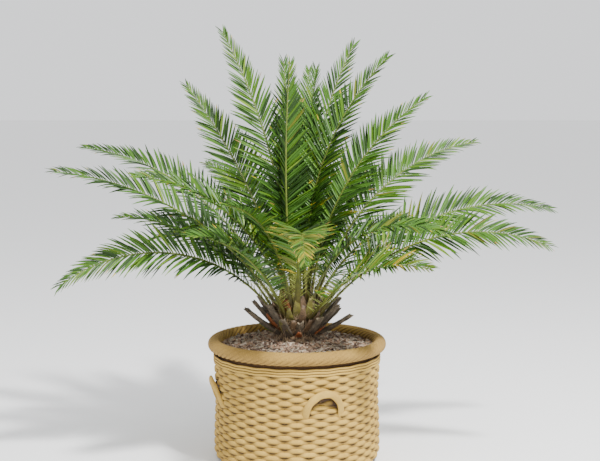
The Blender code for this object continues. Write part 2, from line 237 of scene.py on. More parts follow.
def makeShadeAndDirtGroup():
    # turns a colour to the dark colour given as its second input as the piece's own shade value falls
    # from End to Start; that colour is painted shade on the planter and between the trunk's scales,
    # and a darker tone towards the seat on the leaf bases, stubs and frond ribs
    group, start, end = makeGroup(
        "hollowDirt",
        {"Colour": "Color", "Dirt": "Color", "Shade": "Float", "Start": "Float", "End": "Float"},
        {"Colour": "Color"})
    spread = addNode(group, "ShaderNodeMapRange")
    both = addNode(group, "ShaderNodeMix")
    both.data_type = "RGBA"
    linkAll(group, [
        (start, "Shade", spread, "Value"),
        (start, "Start", spread, "From Min"), (start, "End", spread, "From Max"),
        (spread, "Result", both, "Factor"),
        (start, "Dirt", both, "A"), (start, "Colour", both, "B"),
        (both, "Result", end, "Colour")])
    return group


sandGrain = makeGrain(grainEffect)
hollowDirt = makeShadeAndDirtGroup()


def newMaterial(name, values):
    material = bpy.data.materials.new(name)
    material.use_nodes = True
    return material, setInputs(material.node_tree.nodes["Principled BSDF"], values)


def grainyMaterial(name, dark, light, shadeAndDirt, rough=0.8, blotch=9.0, grain=260.0, share=0.4,
                   bump=0.3, depth=0.002, dirtRange=(0.1, 0.9), stretch=(1, 1, 1)):
    # dark and light mixed by the grain, and a darker colour laid over both where the shade value is
    # low: painted shade on the planter and the trunk's scales, a darker tone by the seat elsewhere
    material, shader = newMaterial(name, {"Roughness": rough})
    tree = material.node_tree
    place = addNode(tree, "ShaderNodeTexCoord")
    turn = addNode(tree, "ShaderNodeMapping", Scale=stretch)
    effect = addNode(tree, "ShaderNodeGroup")
    effect.node_tree = sandGrain
    setInputs(effect, {"Blotch Scale": blotch, "Grain Scale": grain, "Grain Share": share})
    colour = addNode(tree, "ShaderNodeMix")
    colour.data_type = "RGBA"
    setInputs(colour, {"A": (*dark, 1), "B": (*light, 1)})
    own = addNode(tree, "ShaderNodeAttribute")
    own.attribute_name = "shade"
    hollow = addNode(tree, "ShaderNodeGroup")
    hollow.node_tree = hollowDirt
    setInputs(hollow, {"Dirt": (*shadeAndDirt, 1), "Start": dirtRange[0], "End": dirtRange[1]})
    relief = addNode(tree, "ShaderNodeBump", Strength=bump, Distance=depth)
    linkAll(tree, [
        (place, "Object", turn, "Vector"), (turn, "Vector", effect, "Vector"),
        (effect, "Mask", colour, "Factor"), (colour, "Result", hollow, "Colour"),
        (own, "Fac", hollow, "Shade"), (hollow, "Colour", shader, "Base Color"),
        (effect, "Height", relief, "Height"), (relief, "Normal", shader, "Normal")])
    return material


def plainMaterial(name, colour, rough=0.48, specular=0.3):
    values = {"Base Color": (*colour, 1), "Roughness": rough, "Specular IOR Level": specular}
    return newMaterial(name, values)[0]


# dark and light colours and the colour laid in where the shade value is low (painted shade on the
# planter's weave and rim and the trunk's bulb), then what differs from the usual grain
sandyWeave = grainyMaterial(
    "sandyWeave", (0.37, 0.220, 0.036), (0.58, 0.375, 0.074), (0.045, 0.020, 0.004),
    rough=0.88, share=0.55, bump=0.8, dirtRange=(0.15, 0.85))
ropeRim = grainyMaterial(
    "ropeRim", (0.20, 0.113, 0.020), (0.39, 0.238, 0.050), (0.05, 0.022, 0.005),
    rough=0.9, share=0.55, bump=0.9, dirtRange=(0.05, 0.85))
wallShadow = grainyMaterial(
    "wallShadow", (0.08, 0.04, 0.015), (0.14, 0.075, 0.03), (0.05, 0.03, 0.01), rough=0.95)
earStrap = grainyMaterial(
    "earStrap", (0.35, 0.210, 0.034), (0.55, 0.355, 0.074), (0.2, 0.12, 0.06), rough=0.85)
mulchBed = grainyMaterial(
    "mulchBed", (0.04, 0.028, 0.022), (0.13, 0.09, 0.07), (0.02, 0.015, 0.01), rough=0.95)
trunkFibre = grainyMaterial(
    "trunkFibre", (0.06, 0.035, 0.018), (0.20, 0.13, 0.07), (0.02, 0.012, 0.008),
    rough=0.95, blotch=30.0, grain=400.0, stretch=(1, 1, 0.3))
looseFibre = grainyMaterial(
    "looseFibre", (0.16, 0.10, 0.05), (0.38, 0.27, 0.15), (0.1, 0.06, 0.03), rough=0.95)
dryStub = grainyMaterial(
    "dryStub", (0.016, 0.011, 0.007), (0.17, 0.130, 0.082), (0.014, 0.009, 0.006),
    rough=0.88, blotch=46.0, grain=330.0, share=0.45, bump=0.6)
cutWood = grainyMaterial(
    "cutWood", (0.12, 0.09, 0.055), (0.36, 0.28, 0.18), (0.06, 0.04, 0.025),
    rough=0.9, blotch=80.0, grain=600.0, bump=0.7)
ribSkin = grainyMaterial(
    "ribSkin", (0.038, 0.062, 0.009), (0.165, 0.200, 0.020), (0.065, 0.032, 0.009),
    rough=0.5, blotch=26.0, grain=120.0, bump=0.1, dirtRange=(-0.02, 0.24))
spineSkin = plainMaterial("spineSkin", (0.26, 0.30, 0.06), 0.5)

chipTones = {  # dark and light
    "chipRosy": ((0.17, 0.100, 0.060), (0.37, 0.24, 0.15)),
    "chipGrey": ((0.15, 0.12, 0.085), (0.40, 0.33, 0.24)),
    "chipBrown": ((0.045, 0.024, 0.016), (0.15, 0.09, 0.06)),
    "chipPale": ((0.30, 0.22, 0.16), (0.52, 0.42, 0.33)),
}
baseTones = {
    "baseBrown": ((0.022, 0.013, 0.008), (0.19, 0.115, 0.055)),
    "baseOlive": ((0.035, 0.025, 0.010), (0.18, 0.165, 0.016)),
    "baseGreen": ((0.03, 0.03, 0.010), (0.10, 0.20, 0.015)),
    "baseOrange": ((0.05, 0.022, 0.010), (0.34, 0.085, 0.010)),
}
leafTones = {
    "leafDeep": (0.019, 0.052, 0.006),
    "leafMid": (0.052, 0.132, 0.013),
    "leafFresh": (0.062, 0.142, 0.005),
    "leafPale": (0.135, 0.225, 0.018),
    "leafOlive": (0.115, 0.135, 0.009),
    "leafGold": (0.360, 0.270, 0.012),
    "leafDry": (0.280, 0.170, 0.045),
}
baseSeatDark = (0.03, 0.018, 0.010)
chipMaterials = [grainyMaterial(name, dark, light, dark, rough=0.92, blotch=60.0)
                 for name, (dark, light) in chipTones.items()]
baseMaterials = [grainyMaterial(name, dark, light, baseSeatDark, rough=0.6, blotch=75.0, share=0.5,
                                dirtRange=(0.1, 0.7))
                 for name, (dark, light) in baseTones.items()]
leafMaterials = [plainMaterial(name, colour) for name, colour in leafTones.items()]
goldTone = list(leafTones).index("leafGold")
dryTone = list(leafTones).index("leafDry")
print("finishes made")


# planter

planter = {
    "stakes": 44,
    "stakeHalves": (0.0060, 0.0028),
    "stakeSink": 0.0010,     # stake centres behind the middle of the strands
    "stakeSpan": (0.012, 0.386),
    "stakeShade": 0.30,
    "samples": 6,            # points on a strand between two stakes
    "rows": 24,
    "rowTop": 0.3800,
    "rowPitch": 0.0161,
    "rowWander": 0.0007,
    "rowLowest": 0.0145,
    "weaveSink": 0.0045,     # strand centres behind the plain wall
    "weaveSwing": 0.0031,
    "strandDeep": 0.0056,
    "strandTall": 0.0094,
    "strandSwell": 0.0016,
    # where painted shadow falls round a strand, and how sharply it gathers
    "dirtAbove": (0.66, 0, 0, 0, 1, 1, 1, 1),       # round a strand from its front, down and back up
    "dirtBelow": (0, 0.58, 1, 1, 1, 0, 0, 0),
    "dirtPower": 1.5,
    "bandHeights": (0.4125, 0.4020, 0.3915),
    "bandRadius": 0.3235,
    "bandHalves": (0.0060, 0.0058),
    "bandRipple": 0.0010,
    "bandCorners": 10,
    "rimRadius": 0.3255,
    "rimHeight": 0.4550,
    "rimTube": 0.0245,
    "rimStrands": 8,
    "rimCrossings": 72,
    "rimSamples": 14,        # points along the rim from one crossing to the next
    "rimCorners": 48,
    "rimSwell": 0.04,
    "rimRelief": 0.20,
    "rimRound": 0.7,         # the strands are rounder as it falls
    "rimWornAt": 315,        # on the upper outer side
    "rimLeast": 0.35,        # the grooves' depth there, as a share
    "innerRadius": 0.3040,
    "floor": 0.0300,
    "coreInset": 0.0095,     # the dark wall behind the plain one
    "coreFoot": 0.284,
    "coreHeights": (0.0, 0.0, 0.003, 0.012, 0.025, 0.040, 0.100, 0.270, 0.386, 0.424, 0.440),
    "coreSteps": 96,
}
ears = {
    "azimuths": (-71.5, 28.0, 110.0, 192.0),
    "halfWidth": 0.070,
    "foot": 0.226,
    "top": 0.331,
    "strap": 0.0135,
    "flatness": 0.60,
    "tuck": 0.35,            # how much the outer edge of the strap turns in to the wall
    "lean": 0.026,
    "sink": 0.016,
    "fullness": 0.8,
    "stations": 49,
    "corners": 20,
    "square": 0.85,
    "ripple": 0.05,
    "groove": 0.10,
}
# where the painted shadow under each ear's arch falls
earShadowShape = {
    "radius": 0.322,         # the wall's, under the ears
    "inset": 0.009,          # from the ear's own arch, at the sides
    "drop": 0.025,           # and at the top
    "edge": 0.98,
    "reach": 0.030,          # how far down it fades
    "rise": 0.6,             # how far up it goes behind the strap, in reaches
    "solid": 0.3,
}
wallHeights = np.array([0.000, 0.003, 0.012, 0.025, 0.040, 0.100,
                        0.270, 0.386, 0.390, 0.414, 0.426])
wallRadii = np.array([0.285, 0.300, 0.3133, 0.3221, 0.3250, 0.3250,
                      0.3180, 0.3245, 0.3290, 0.3290, 0.3200])


def wallRadius(height):
    # the plain wall's profile, straight between its named heights
    return np.interp(height, wallHeights, wallRadii)


def earShadow(p, g, around, height):
    # painted shadow under each ear, darkest just inside its arch and fading down; 1 is unshaded
    shade = np.ones(np.broadcast_shapes(around.shape, height.shape))
    for azimuth in p["azimuths"]:
        offset = (around - math.radians(azimuth) + math.pi) % fullTurn - math.pi
        across = np.clip(offset * g["radius"] / (p["halfWidth"] - g["inset"]), -1, 1)
        tall = p["top"] - p["foot"] - g["drop"]
        arch = p["foot"] + tall * (1 - across ** 2) ** (p["fullness"] / 2)
        below = (arch - height) / g["reach"]
        inside = (np.abs(across) < g["edge"]) & (below > -g["rise"]) & (below < 1)
        fade = np.clip((1 + g["solid"]) * below - g["solid"], 0, 1)
        shade = np.where(inside, np.minimum(shade, fade), shade)
    return shade


def weaveStrands(p, around, bundle):
    # a strand's centre swings in and out by a cosine with two stakes to a turn, row by row in turn
    row = np.arange(p["rows"])[:, None]
    phase = around * p["stakes"] / 2 + row * math.pi
    height = p["rowTop"] - p["rowPitch"] * row + p["rowWander"] * np.sin(7 * around + 2.1 * row)
    height = np.maximum(height, p["rowLowest"])
    radius = wallRadius(height) - p["weaveSink"] + p["weaveSwing"] * np.cos(phase)
    tall = p["strandTall"] + p["strandSwell"] * np.cos(phase)
    deep = np.full_like(radius, p["strandDeep"])
    points, faces = ringTubes(radius, height, deep, tall, len(p["dirtAbove"]))
    # painted shadow: on its front and top where a strand runs behind a stake, under the strand
    # bulging above it, and on its underside where it bulges
    back = (0.5 - 0.5 * np.cos(phase))[..., None]
    topSide = np.array(p["dirtAbove"])
    underSide = np.array(p["dirtBelow"])
    shade = 1 - back ** p["dirtPower"] * topSide - (1 - back) ** p["dirtPower"] * underSide
    shade = shade * earShadow(ears, earShadowShape, around, height)[..., None]
    addTo(bundle, points, faces, value=shade)


def weaveStakes(p, bundle):
    # upright ellipses swept up the wall's profile, half way between the strands' two sides
    heights = np.linspace(*p["stakeSpan"], 26)
    angle = evenTurns(p["stakes"])[:, None]
    out = wallRadius(heights)[None, :] - p["weaveSink"] - p["stakeSink"]
    high = np.broadcast_to(heights, (p["stakes"], len(heights)))
    places = np.stack([out * np.cos(angle), out * np.sin(angle), high], -1)
    sides = np.stack([-np.sin(angle), np.cos(angle), 0 * angle], -1)
    uppers = -np.stack([np.cos(angle), np.sin(angle), 0 * angle], -1)
    halfWide, halfDeep = (np.full(high.shape, half) for half in p["stakeHalves"])
    across, above = roundSection(halfWide, halfDeep, 6)
    points, faces = sweepBatch(places, sides, uppers, across, above)
    # the stakes are painted dark all along, as shade behind the strands
    addTo(bundle, points, faces, value=p["stakeShade"])


def plainBand(p, around, bundle):
    # three plain rings that ripple with the stakes, clean in front and with painted shade in their
    # grooves
    heights = np.array(p["bandHeights"])[:, None]
    heights = heights + p["bandRipple"] * np.sin(around * p["stakes"] / 2)
    radius = np.full_like(heights, p["bandRadius"])
    deep, tall = (np.full_like(radius, half) for half in p["bandHalves"])
    points, faces = ringTubes(radius, heights, deep, tall, p["bandCorners"])
    front = np.clip(np.cos(evenTurns(p["bandCorners"])), 0, 1) ** 2
    shade = np.broadcast_to(front, (*radius.shape, p["bandCorners"]))
    addTo(bundle, points, faces, value=shade)


def weavePlanter(p):
    around = evenTurns(p["stakes"] * p["samples"])
    bundle = newBundle()
    weaveStrands(p, around, bundle)
    weaveStakes(p, bundle)
    plainBand(p, around, bundle)
    makePiece("planterWeave", bundle, [sandyWeave], ["pot"])


def ropeRimPiece(p):
    # a tube whose radius follows |cos((strands t + crossings a) / 2)|: rounded strands, sharp grooves
    steps, corners = p["rimCrossings"] * p["rimSamples"], p["rimCorners"]
    around = evenTurns(steps)[:, None]
    turn = evenTurns(corners)[None, :]
    crest = np.abs(np.cos((p["rimStrands"] * turn + p["rimCrossings"] * around) / 2)) ** p["rimRound"]
    # the grooves, and the painted shade in them, are shallow on the rim's upper outer side and deep
    # on its inner and lower sides
    grooveShare = np.clip(0.75 - 0.9 * np.cos(turn - math.radians(p["rimWornAt"])), 0, 1)
    crest = 1 - (1 - crest) * (p["rimLeast"] + (1 - p["rimLeast"]) * grooveShare)
    tube = p["rimTube"] * (1 + p["rimSwell"] - p["rimRelief"] * (1 - crest))
    out = p["rimRadius"] + tube * np.cos(turn)
    high = p["rimHeight"] - tube * np.sin(turn)
    points = np.stack([out * np.cos(around), out * np.sin(around), high], -1)
    bundle = newBundle()
    # crest also sets the colour: painted shade in the grooves
    addTo(bundle, points, [gridFaces(steps, corners, wrapRows=True)], value=crest)
    makePiece("planterRim", bundle, [ropeRim], ["pot"])


def planterCore(p):
    # the plain wall's profile moved in, with the flat underside and the inside, turned
    outerHeights = np.array(p["coreHeights"])
    outer = wallRadius(outerHeights) - p["coreInset"]
    outer[0] = 0.0
    outer[1] = p["coreFoot"]
    radius = np.concatenate([outer, [p["innerRadius"], p["innerRadius"], 0.0]])
    height = np.concatenate([outerHeights, [outerHeights[-1], p["floor"], p["floor"]]])
    points, faces = turned(radius[:, None], height[:, None], p["coreSteps"])
    bundle = newBundle()
    addTo(bundle, points, faces)
    makePiece("planterWall", bundle, [wallShadow], ["pot"], weld=True)


def earHandles(p):
    # an arch (w cos a, rise sin a ^ fullness) leaned out at the top and turned to its place
    rise = p["top"] - p["foot"]
    angle = np.linspace(0, math.pi, p["stations"])
    arch = np.stack([p["halfWidth"] * np.cos(angle), 0 * angle,
                     rise * np.sin(angle) ** p["fullness"]], -1)
    along = unit(np.gradient(arch, axis=0))
    upper = np.broadcast_to([0.0, 1.0, 0.0], arch.shape)
    side = np.cross(upper, along)
    wide = p["strap"] * (1 + p["ripple"] * np.sin(angle * 9))
    across, above = roundSection(wide, wide * p["flatness"], p["corners"], p["square"])
    above = above + p["tuck"] * across
    strands = 1.5 * evenTurns(p["corners"]) + angle[:, None] * 2.0
    groove = 1 - p["groove"] * np.abs(np.sin(strands))
    points, faces = sweepOne(arch, side, upper, across * groove, above * groove)
    lean = math.atan2(p["lean"] + p["sink"], rise)
    x, y, z = np.moveaxis(points[0], -1, 0)
    y, z = (y * math.cos(lean) - z * math.sin(lean) - (wallRadius(p["foot"]) - p["sink"]),
            y * math.sin(lean) + z * math.cos(lean) + p["foot"])
    for count, azimuth in enumerate(p["azimuths"], start=1):
        turn = math.radians(azimuth + 90)
        east = x * math.cos(turn) - y * math.sin(turn)
        north = x * math.sin(turn) + y * math.cos(turn)
        bundle = newBundle()
        addTo(bundle, np.stack([east, north, z], -1), faces)
        makePiece(f"planterEar{count}", bundle, [earStrap], [f"handle_{count}"])


weavePlanter(planter)
ropeRimPiece(planter)
planterCore(planter)
earHandles(ears)
print("planter made")


# soil and bark chips

mulch = {
    "plateau": 0.105,
    "height": 0.464,
    "shoulder": 0.290,
    "shoulderHeight": 0.446,
    "edge": 0.3037,
    "edgeHeight": 0.439,
    "bottom": 0.0303,
    "steps": 120,
    "rings": 26,
    "lump": 0.0025,
    "lumpRing": (0.01, 0.30),
    "chips": 3600,
    "chipSize": (0.015, 0.0062, 0.0028),
    "cornerPull": (-0.35, 0.25),
    "chipScale": (0.55, 1.5),
    "chipStretch": (0.7, 1.3),
    "chipTip": 0.35,
    "chipRing": (0.075, 0.296),
    "chipLift": 0.007,
    "toneShares": (0.38, 0.26, 0.26, 0.10),
    "seed": 5,
}


def soilHeight(radius):
    # level round the trunk, then down in two straight slopes
    p = mulch
    return np.interp(radius, [p["plateau"], p["shoulder"], p["edge"]],
                     [p["height"], p["shoulderHeight"], p["edgeHeight"]])


def soilMound(p):
    # the slope plus lumps sin(9 a + 60 r) sin(5 a - 90 r), over a round plug that fills the inside
    steps = p["steps"]
    around = evenTurns(steps)
    radius = np.linspace(p["edge"], 0.0, p["rings"])[:, None]
    inside = (radius > p["lumpRing"][0]) & (radius < p["lumpRing"][1])
    lumps = np.sin(9 * around + 60 * radius) * np.sin(5 * around - 90 * radius)
    top = soilHeight(radius) + p["lump"] * lumps * inside
    out = np.concatenate([[[0.0]], [[p["edge"]]], radius]) * np.ones((1, steps))
    high = np.concatenate([np.full((2, steps), p["bottom"]), top])
    points, faces = turned(out, high, steps)
    bundle = newBundle()
    addTo(bundle, points, faces)
    makePiece("mulchBed", bundle, [mulchBed], ["soil"], weld=True)


def barkChips(p):
    # each chip is a flat box with its eight corners pulled about, turned and tipped at random
    rng = np.random.default_rng(p["seed"])
    count = p["chips"]
    corner = np.array([(x, y, z) for z in (-1, 1) for y in (-1, 1) for x in (-1, 1)]) * 0.5
    shape = corner * (1 + rng.uniform(*p["cornerPull"], (count, 8, 3))) * np.array(p["chipSize"])
    shape = shape * rng.uniform(*p["chipScale"], (count, 1, 1))
    shape = shape * rng.uniform(*p["chipStretch"], (count, 1, 3))
    heading = rng.uniform(0, fullTurn, count)
    tipped = rng.normal(0, p["chipTip"], (count, 2))
    for first, second, angle in ((0, 1, heading), (1, 2, tipped[:, 0]), (0, 2, tipped[:, 1])):
        a, b = shape[..., first].copy(), shape[..., second].copy()
        cosine, sine = np.cos(angle)[:, None], np.sin(angle)[:, None]
        shape[..., first] = a * cosine - b * sine
        shape[..., second] = a * sine + b * cosine
    low, high = p["chipRing"]
    out = np.sqrt(rng.uniform(low ** 2, high ** 2, count))
    spin = rng.uniform(0, fullTurn, count)
    rise = soilHeight(out) + rng.uniform(0, p["chipLift"], count)
    points = shape + np.stack([out * np.cos(spin), out * np.sin(spin), rise], -1)[:, None, :]
    box = np.array([(0, 2, 3, 1), (4, 5, 7, 6), (0, 1, 5, 4),
                    (2, 6, 7, 3), (0, 4, 6, 2), (1, 3, 7, 5)])
    tone = rng.choice(len(p["toneShares"]), count, p=p["toneShares"])
    bundle = newBundle()
    addTo(bundle, points, [repeatFaces(box, count, len(corner))], paint=np.repeat(tone, len(box)))
    makePiece("barkChips", bundle, chipMaterials, ["soil"], smooth=False)


soilMound(mulch)
barkChips(mulch)
print("soil made")


# trunk and its fibre

crown = {
    "height": 0.530,
    "radius": 0.076,
    "rise": 0.085,
    "seatRadius": 0.070,
    "soil": 0.4663,
    "footHeights": (0.4663, 0.482, 0.505, 0.530),
    "footRadii": (0.083, 0.079, 0.077, 0.076),
    "footShare": 0.4,        # of the rows, the rest are on the dome
    "steps": 180,
    "rows": 54,
    "scales": 9,
    "scaleTurns": 22,
    "relief": 0.0035,
    "reliefMiddle": 0.6,
    "limbSteps": 240,
}
fibre = {
    "count": 1500,
    "seats": (-38, 60),
    "reach": (0.074, 0.074, 0.083),
    "spread": 0.7,
    "lift": 0.5,
    "length": (0.015, 0.060),
    "curl": 0.35,
    "hang": 0.35,
    "lowest": 0.468,
    "halfWidth": (0.0010, 0.0003),
    "flatness": 0.6,
    "stations": 6,
    "seed": 21,
}


def limbDirection(azimuth, elevation):
    # the unit vector (cos a cos e, sin a cos e, sin e) for two angles in degrees
    a, e = np.radians(azimuth), np.radians(elevation)
    return np.stack([np.cos(a) * np.cos(e), np.sin(a) * np.cos(e), np.sin(e) + 0 * a], -1)


def limbPath(azimuth, seat, rise, tip, length, bend, shares):
    # the elevation along a limb is rise + (tip - rise) share ^ bend; its places are the running sum
    p, steps = crown, crown["limbSteps"]
    middle = (np.arange(steps) + 0.5) / steps
    headings = limbDirection(azimuth, rise + (tip - rise) * middle ** bend)
    start = limbDirection(azimuth, seat) * np.array([p["seatRadius"], p["seatRadius"], p["rise"]])
    start[2] += p["height"]
    walked = np.cumsum(headings * length / steps, axis=0)
    places = start + np.concatenate([np.zeros((1, 3)), walked])
    grid = np.linspace(0, 1, steps + 1)
    place = np.stack([np.interp(shares, grid, places[:, k]) for k in range(3)], -1)
    return place, limbDirection(azimuth, rise + (tip - rise) * shares ** bend)


def limbFrames(headings, azimuth, roll):
    # side lies level across the limb, upper is heading x side, and both turn by roll
    a = math.radians(azimuth)
    side = np.broadcast_to([-math.sin(a), math.cos(a), 0.0], headings.shape)
    upper = np.cross(headings, side)
    c, s = np.cos(np.radians(roll))[:, None], np.sin(np.radians(roll))[:, None]
    return side * c + upper * s, upper * c - side * s


def sinkRoot(places, azimuth, seat, depth):
    # one more place, inside the trunk straight behind the limb's seat
    root = places[0] - limbDirection(azimuth, seat) * depth
    return np.concatenate([root[None], places])


def firstTwice(values):
    # the values that go with the places of sinkRoot
    return np.concatenate([values[:1], values])


def trunkBulb(p):
    # a tapered foot and a quarter-round dome, turned; two families of spirals cross on it, and
    # |sin(n a / 2 + k u) sin(n a / 2 - k u)| ^ 0.5 raises the scales between them
    steps, rows, foot = p["steps"], p["rows"], p["footShare"]
    around = evenTurns(steps)
    up = np.linspace(0, 1, rows)[:, None]
    dome = np.clip((up - foot) / (1 - foot), 0, 1) * math.pi / 2
    footHeight = p["soil"] + (p["height"] - p["soil"]) * up / foot
    footRadius = np.interp(footHeight, p["footHeights"], p["footRadii"])
    height = np.where(up < foot, footHeight, p["height"] + p["rise"] * np.sin(dome))
    radius = np.where(up < foot, footRadius, p["radius"] * np.cos(dome))
    left = np.abs(np.sin(p["scales"] * around / 2 + p["scaleTurns"] * up))
    right = np.abs(np.sin(p["scales"] * around / 2 - p["scaleTurns"] * up))
    scale = (left * right) ** 0.5
    inside = (up > 0.01) & (up < 0.97)
    relief = p["relief"] * (scale - p["reliefMiddle"]) * inside
    out = np.concatenate([np.zeros((1, steps)), radius + relief])
    high = np.concatenate([np.full((1, steps), p["soil"]), height * np.ones((1, steps))])
    points, faces = turned(out, high, steps)
    bundle = newBundle()
    # the shade value is the scales' height, so painted shade falls in the hollows between them
    addTo(bundle, points, faces, value=np.concatenate([np.ones((1, steps)), scale]))
    makePiece("trunkBulb", bundle, [trunkFibre], ["trunk"], weld=True)


def trunkFibres(p):
    # hairs that leave the bulb on the line start + length (heading s + bend s^2), kept off the soil
    rng = np.random.default_rng(p["seed"])
    count, stations = p["count"], p["stations"]
    azimuth = rng.uniform(0, 360, count)
    flat = limbDirection(azimuth, rng.uniform(*p["seats"], count))
    start = flat * np.array(p["reach"]) + np.array([0, 0, crown["height"]])
    heading = unit(flat + rng.normal(0, p["spread"], (count, 3)) + np.array([0, 0, p["lift"]]))
    length = rng.uniform(*p["length"], count)
    along = np.linspace(0, 1, stations)[None, :, None]
    bend = rng.normal(0, p["curl"], (count, 1, 3)) - np.array([0, 0, p["hang"]])
    line = heading[:, None] * along + bend * along ** 2
    places = start[:, None] + length[:, None, None] * line
    places[..., 2] = np.maximum(places[..., 2], p["lowest"])
    headings = unit(np.gradient(places, axis=1))
    sides = unit(np.cross(headings, np.array([0.3, 0.2, 1.0])))
    uppers = np.cross(headings, sides)
    wide = np.broadcast_to(np.linspace(*p["halfWidth"], stations), (count, stations))
    across, above = roundSection(wide, wide * p["flatness"], 3)
    points, faces = sweepBatch(places, sides, uppers, across, above)
    bundle = newBundle()
    addTo(bundle, points, faces)
    makePiece("trunkFibres", bundle, [looseFibre], ["trunk"])


# old leaf bases

bases = {
    "count": 52,
    "goldenAngle": 137.5,
    "seats": (-36, 50),
    "rise": (46, 0.75, 84),  # at a level seat, for each degree of seat, at most
    "riseSpread": 6,
    "curl": (18, 88),        # how much the tip rises further, at most
    "roll": 14,
    "width": (0.044, 0.034, 0.015),
    "widthSpread": (0.8, 1.1),
    "depth": (0.008, 0.011, 0.005),
    "length": (0.050, 0.100),
    "hug": 7.0,              # how much the section bends round the bulb
    "ragged": 0.05,
    "torn": 0.004,
    "shadeStart": 0.2,
    "stations": 9,
    "corners": 14,
    "square": 0.8,
    "tones": (0.46, 0.26, 0.10, 0.18),
    "seed": 9,
}


def leafBases(p):
    # broad old leaf bases set round the bulb by the golden angle, each bent up into a torn stump
    rng = np.random.default_rng(p["seed"])
    shares, corners = np.linspace(0, 1, p["stations"]), p["corners"]
    lowSeat, highSeat = p["seats"]
    level, slope, steepest = p["rise"]
    curl, upright = p["curl"]
    bundle = newBundle()
    for k in range(p["count"]):
        seat = lowSeat + (highSeat - lowSeat) * (k + 0.5) / p["count"]
        azimuth = k * p["goldenAngle"] % 360
        lift = rng.uniform(-p["riseSpread"], p["riseSpread"])
        rise = min(steepest, level + slope * seat + lift)
        length = rng.uniform(*p["length"])
        tip = min(upright, rise + curl)
        places, headings = limbPath(azimuth, seat, rise, tip, length, 1.0, shares)
        roll = np.full(len(shares), rng.uniform(-p["roll"], p["roll"]))
        sides, uppers = limbFrames(headings, azimuth, roll)
        wide = mix(p["width"], shares) / 2 * rng.uniform(*p["widthSpread"])
        across, above = roundSection(wide, mix(p["depth"], shares) / 2, corners, p["square"])
        above = above - p["hug"] * across ** 2 * (1 - shares[:, None])
        ragged = 1 + p["ragged"] * rng.normal(0, 1, (len(shares), corners))
        points, faces = sweepOne(places, sides, uppers, across * ragged, above)
        points[0, -1] += headings[-1] * rng.normal(0, p["torn"], (corners, 1))
        tone = rng.choice(len(p["tones"]), p=p["tones"])
        # the colour turns darker towards the seat
        shade = np.repeat(p["shadeStart"] + shares, corners)
        addTo(bundle, points, faces, paint=tone, value=shade)
    makePiece("leafBases", bundle, baseMaterials, ["trunk"])


# cut stubs

stub = {
    "width": (0.036, 0.025),
    "depth": (0.020, 0.016),
    "slant": 0.004,
    "rootDepth": 0.035,
    "jag": 0.0035,
    "wave": 0.05,
    "ridge": 0.07,
    "fray": 0.04,
    "groove": 0.35,
    "cutShare": 0.55,        # the hollowed middle of the cut face
    "cutDepth": 0.003,
    "shades": (0.35, 1.0),   # at the seat and at the cut
    "cutShade": 0.6,
    "stations": 16,
    "corners": 20,
    "square": 0.7,
    "seed": 33,
}
stubRows = (  # azimuth, seat elevation, rise, tip angle, length
    (172, -28, 26, 42, 0.172), (206, -27, 28, 44, 0.168), (139, -28, 24, 40, 0.160),
    (155, -8, 44, 54, 0.150), (190, -9, 42, 52, 0.150), (223, -8, 46, 60, 0.130),
    (-8, -28, 20, 36, 0.172), (27, -27, 28, 42, 0.155), (-27, -8, 34, 52, 0.145),
    (10, -9, 44, 52, 0.150), (62, -28, 26, 44, 0.160), (45, -8, 42, 54, 0.140),
    (82, -8, 40, 56, 0.145), (100, -28, 24, 42, 0.165), (119, -8, 44, 50, 0.140),
    (246, -28, 36, 56, 0.110), (309, -28, 36, 56, 0.115), (278, -28, 50, 64, 0.075),
)


def cutStub(p, row, rng):
    # a flat bar with a shallow groove along its upper face, frayed and cut on a slant; its section
    # is a squared ellipse times 1 + ridge sin 5t, and the cut face is sunk in its middle
    azimuth, seat, rise, tip, length = row
    shares = np.linspace(0, 1, p["stations"])
    places, headings = limbPath(azimuth, seat, rise, tip, length, 1.0, shares)
    places = sinkRoot(places, azimuth, seat, p["rootDepth"])
    headings = firstTwice(headings)
    share = firstTwice(shares)
    sides, uppers = limbFrames(headings, azimuth, np.zeros(len(places)))
    corners = p["corners"]
    turn = evenTurns(corners)
    wave = 1 + p["wave"] * np.sin(share * 17 + rng.uniform(0, 6))
    wide, deep = mix(p["width"], share) / 2 * wave, mix(p["depth"], share) / 2 * wave
    across, above = roundSection(wide, deep, corners, p["square"])
    ridges = 1 + p["ridge"] * np.sin(5 * turn + rng.uniform(0, 6))
    ridges = ridges + p["fray"] * rng.normal(0, 1, (len(places), corners))
    hollow = np.clip(np.sin(turn), 0, 1) ** 3 * np.exp(-(np.cos(turn) / 0.5) ** 2)
    across, above = across * ridges, above * ridges * (1 - p["groove"] * hollow)
    points, (walls, caps) = sweepOne(places, sides, uppers, across, above)
    slant = p["slant"] * (np.cos(turn) - np.sin(turn)) + rng.normal(0, p["jag"], corners)
    points[0, -1] += slant[:, None] * headings[-1]
    edge = points[0, -1]
    inner = edge.mean(0) + (edge - edge.mean(0)) * p["cutShare"] - headings[-1] * p["cutDepth"]
    cutRing = gridFaces(2, corners) + (len(places) - 1) * corners
    cutMiddle = (len(places) * corners + np.arange(corners))[None]
    shade = np.concatenate([np.repeat(mix(p["shades"], share), corners),
                            np.full(corners, p["cutShade"])])
    bark, cut = [walls, caps[:1]], [cutRing, cutMiddle]
    return np.concatenate([points.reshape(-1, 3), inner]), bark, cut, shade


def allStubs(p):
    rng = np.random.default_rng(p["seed"])
    for count, row in enumerate(stubRows, start=1):
        points, bark, cut, shade = cutStub(p, row, rng)
        paint = np.repeat([0, 1], [sum(map(len, bark)), sum(map(len, cut))])
        bundle = newBundle()
        addTo(bundle, points, bark + cut, paint=paint, value=shade)
        makePiece(f"cutStub{count:02d}", bundle, [dryStub, cutWood], [f"stub_{count:02d}"])


trunkBulb(crown)
trunkFibres(fibre)
leafBases(bases)
allStubs(stub)
print("trunk made")


# fronds

